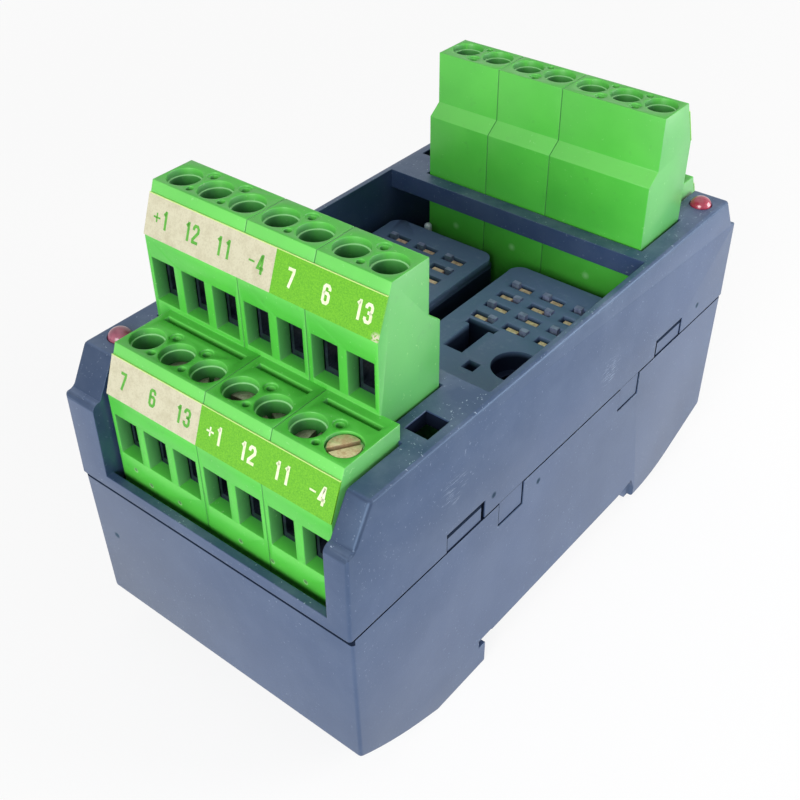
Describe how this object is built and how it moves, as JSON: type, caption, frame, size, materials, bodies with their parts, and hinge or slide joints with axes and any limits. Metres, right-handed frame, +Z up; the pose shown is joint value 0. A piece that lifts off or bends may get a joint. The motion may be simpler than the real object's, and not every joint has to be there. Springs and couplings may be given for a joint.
{
  "type": "relay socket",
  "caption": "Relay socket module for a mounting rail, with staggered screw terminals in tiers at both ends and a well for plug-in relays between them.",
  "frame": {"origin": "on the floor under the middle of the housing", "axes": "+Y from the front terminal rows to the rear ones, across the rail; +X along the rail; +Z up, away from the rail"},
  "size_m": [0.045, 0.0874, 0.0644],
  "materials": {
    "housing": "fine spark-eroded grain",
    "board": "solder mask",
    "latch": "moulded",
    "terminal": "moulded, slightly glossy",
    "clamp": "plated",
    "strip": "printed film",
    "socket": "moulded",
    "contact": "tinned brass",
    "lamp": "clear red resin",
    "lead": "tinned",
    "pipe": "clear",
    "spring": "bright",
    "screw": "yellow passivated, worn"
  },
  "bodies": {
    "housing": {"base_housing": "housing", "upper_shell": "housing", "circuit_board": "board", "terminal_block_front_left": "terminal", "terminal_block_front_middle": "terminal", "terminal_block_front_right": "terminal", "terminal_block_rear_left": "terminal", "terminal_block_rear_middle": "terminal", "terminal_block_rear_right": "terminal", "clamps_front_lower": "clamp", "clamps_front_upper": "clamp", "clamps_rear_lower": "clamp", "clamps_rear_upper": "clamp", "marking_strip_front_lower": "strip", "marking_strip_front_upper": "strip", "marking_strip_rear_lower": "strip", "marking_strip_rear_upper": "strip", "relay_socket_left": "socket", "relay_socket_right": "socket", "socket_contacts_left": "contact", "socket_contacts_right": "contact", "lamp_front": "lamp", "lamp_rear": "lamp", "lamp_leads": "lead", "light_pipe": "pipe", "latch_spring": "spring"},
    "rail_latch": {"rail_latch": "latch"},
    "screw_front_lower_1": {"screw_front_lower_1": "screw"},
    "screw_front_lower_2": {"screw_front_lower_2": "screw"},
    "screw_front_lower_3": {"screw_front_lower_3": "screw"},
    "screw_front_lower_4": {"screw_front_lower_4": "screw"},
    "screw_front_lower_5": {"screw_front_lower_5": "screw"},
    "screw_front_lower_6": {"screw_front_lower_6": "screw"},
    "screw_front_lower_7": {"screw_front_lower_7": "screw"},
    "screw_front_upper_1": {"screw_front_upper_1": "screw"},
    "screw_front_upper_2": {"screw_front_upper_2": "screw"},
    "screw_front_upper_3": {"screw_front_upper_3": "screw"},
    "screw_front_upper_4": {"screw_front_upper_4": "screw"},
    "screw_front_upper_5": {"screw_front_upper_5": "screw"},
    "screw_front_upper_6": {"screw_front_upper_6": "screw"},
    "screw_front_upper_7": {"screw_front_upper_7": "screw"},
    "screw_rear_lower_1": {"screw_rear_lower_1": "screw"},
    "screw_rear_lower_2": {"screw_rear_lower_2": "screw"},
    "screw_rear_lower_3": {"screw_rear_lower_3": "screw"},
    "screw_rear_lower_4": {"screw_rear_lower_4": "screw"},
    "screw_rear_lower_5": {"screw_rear_lower_5": "screw"},
    "screw_rear_lower_6": {"screw_rear_lower_6": "screw"},
    "screw_rear_lower_7": {"screw_rear_lower_7": "screw"},
    "screw_rear_upper_1": {"screw_rear_upper_1": "screw"},
    "screw_rear_upper_2": {"screw_rear_upper_2": "screw"},
    "screw_rear_upper_3": {"screw_rear_upper_3": "screw"},
    "screw_rear_upper_4": {"screw_rear_upper_4": "screw"},
    "screw_rear_upper_5": {"screw_rear_upper_5": "screw"},
    "screw_rear_upper_6": {"screw_rear_upper_6": "screw"},
    "screw_rear_upper_7": {"screw_rear_upper_7": "screw"}
  },
  "joints": [
    {"name": "screw_front_lower_1_turn", "type": "hinge", "parent": "housing", "child": "screw_front_lower_1", "pos_m": [-0.01429, -0.03625, 0.045], "axis": [0, 0, 1], "range_deg": [-792, 2052]},
    {"name": "screw_front_lower_2_turn", "type": "hinge", "parent": "housing", "child": "screw_front_lower_2", "pos_m": [-0.00921, -0.03625, 0.045], "axis": [0, 0, 1], "range_deg": [-1296, 1548]},
    {"name": "screw_front_lower_3_turn", "type": "hinge", "parent": "housing", "child": "screw_front_lower_3", "pos_m": [-0.00413, -0.03625, 0.045], "axis": [0, 0, 1], "range_deg": [-1368, 1476]},
    {"name": "screw_front_lower_4_turn", "type": "hinge", "parent": "housing", "child": "screw_front_lower_4", "pos_m": [0.00095, -0.03625, 0.045], "axis": [0, 0, 1], "range_deg": [-1656, 1188]},
    {"name": "screw_front_lower_5_turn", "type": "hinge", "parent": "housing", "child": "screw_front_lower_5", "pos_m": [0.00603, -0.03625, 0.045], "axis": [0, 0, 1], "range_deg": [-1260, 1584]},
    {"name": "screw_front_lower_6_turn", "type": "hinge", "parent": "housing", "child": "screw_front_lower_6", "pos_m": [0.01111, -0.03625, 0.045], "axis": [0, 0, 1], "range_deg": [-1440, 1404]},
    {"name": "screw_front_lower_7_turn", "type": "hinge", "parent": "housing", "child": "screw_front_lower_7", "pos_m": [0.01619, -0.03625, 0.045], "axis": [0, 0, 1], "range_deg": [-2844, 0]},
    {"name": "screw_front_upper_1_turn", "type": "hinge", "parent": "housing", "child": "screw_front_upper_1", "pos_m": [-0.01683, -0.0254, 0.045], "axis": [0, 0, 1], "range_deg": [0, 2844]},
    {"name": "screw_front_upper_2_turn", "type": "hinge", "parent": "housing", "child": "screw_front_upper_2", "pos_m": [-0.01175, -0.0254, 0.045], "axis": [0, 0, 1], "range_deg": [0, 2844]},
    {"name": "screw_front_upper_3_turn", "type": "hinge", "parent": "housing", "child": "screw_front_upper_3", "pos_m": [-0.00667, -0.0254, 0.045], "axis": [0, 0, 1], "range_deg": [0, 2844]},
    {"name": "screw_front_upper_4_turn", "type": "hinge", "parent": "housing", "child": "screw_front_upper_4", "pos_m": [-0.00159, -0.0254, 0.045], "axis": [0, 0, 1], "range_deg": [0, 2844]},
    {"name": "screw_front_upper_5_turn", "type": "hinge", "parent": "housing", "child": "screw_front_upper_5", "pos_m": [0.00349, -0.0254, 0.045], "axis": [0, 0, 1], "range_deg": [0, 2844]},
    {"name": "screw_front_upper_6_turn", "type": "hinge", "parent": "housing", "child": "screw_front_upper_6", "pos_m": [0.00857, -0.0254, 0.045], "axis": [0, 0, 1], "range_deg": [0, 2844]},
    {"name": "screw_front_upper_7_turn", "type": "hinge", "parent": "housing", "child": "screw_front_upper_7", "pos_m": [0.01365, -0.0254, 0.045], "axis": [0, 0, 1], "range_deg": [0, 2844]},
    {"name": "screw_rear_lower_1_turn", "type": "hinge", "parent": "housing", "child": "screw_rear_lower_1", "pos_m": [0.01429, 0.03625, 0.045], "axis": [0, 0, 1], "range_deg": [0, 2844]},
    {"name": "screw_rear_lower_2_turn", "type": "hinge", "parent": "housing", "child": "screw_rear_lower_2", "pos_m": [0.00921, 0.03625, 0.045], "axis": [0, 0, 1], "range_deg": [0, 2844]},
    {"name": "screw_rear_lower_3_turn", "type": "hinge", "parent": "housing", "child": "screw_rear_lower_3", "pos_m": [0.00413, 0.03625, 0.045], "axis": [0, 0, 1], "range_deg": [0, 2844]},
    {"name": "screw_rear_lower_4_turn", "type": "hinge", "parent": "housing", "child": "screw_rear_lower_4", "pos_m": [-0.00095, 0.03625, 0.045], "axis": [0, 0, 1], "range_deg": [0, 2844]},
    {"name": "screw_rear_lower_5_turn", "type": "hinge", "parent": "housing", "child": "screw_rear_lower_5", "pos_m": [-0.00603, 0.03625, 0.045], "axis": [0, 0, 1], "range_deg": [0, 2844]},
    {"name": "screw_rear_lower_6_turn", "type": "hinge", "parent": "housing", "child": "screw_rear_lower_6", "pos_m": [-0.01111, 0.03625, 0.045], "axis": [0, 0, 1], "range_deg": [0, 2844]},
    {"name": "screw_rear_lower_7_turn", "type": "hinge", "parent": "housing", "child": "screw_rear_lower_7", "pos_m": [-0.01619, 0.03625, 0.045], "axis": [0, 0, 1], "range_deg": [0, 2844]},
    {"name": "screw_rear_upper_1_turn", "type": "hinge", "parent": "housing", "child": "screw_rear_upper_1", "pos_m": [0.01683, 0.0254, 0.045], "axis": [0, 0, 1], "range_deg": [0, 2844]},
    {"name": "screw_rear_upper_2_turn", "type": "hinge", "parent": "housing", "child": "screw_rear_upper_2", "pos_m": [0.01175, 0.0254, 0.045], "axis": [0, 0, 1], "range_deg": [0, 2844]},
    {"name": "screw_rear_upper_3_turn", "type": "hinge", "parent": "housing", "child": "screw_rear_upper_3", "pos_m": [0.00667, 0.0254, 0.045], "axis": [0, 0, 1], "range_deg": [0, 2844]},
    {"name": "screw_rear_upper_4_turn", "type": "hinge", "parent": "housing", "child": "screw_rear_upper_4", "pos_m": [0.00159, 0.0254, 0.045], "axis": [0, 0, 1], "range_deg": [0, 2844]},
    {"name": "screw_rear_upper_5_turn", "type": "hinge", "parent": "housing", "child": "screw_rear_upper_5", "pos_m": [-0.00349, 0.0254, 0.045], "axis": [0, 0, 1], "range_deg": [0, 2844]},
    {"name": "screw_rear_upper_6_turn", "type": "hinge", "parent": "housing", "child": "screw_rear_upper_6", "pos_m": [-0.00857, 0.0254, 0.045], "axis": [0, 0, 1], "range_deg": [0, 2844]},
    {"name": "screw_rear_upper_7_turn", "type": "hinge", "parent": "housing", "child": "screw_rear_upper_7", "pos_m": [-0.01365, 0.0254, 0.045], "axis": [0, 0, 1], "range_deg": [0, 2844]},
    {"name": "latch_slide", "type": "slide", "parent": "housing", "child": "rail_latch", "axis": [0, 1, 0], "range_m": [0, 0.003], "stiffness_N_per_m": 900, "springref_m": -0.004, "deforming": ["latch_spring"]}
  ]
}
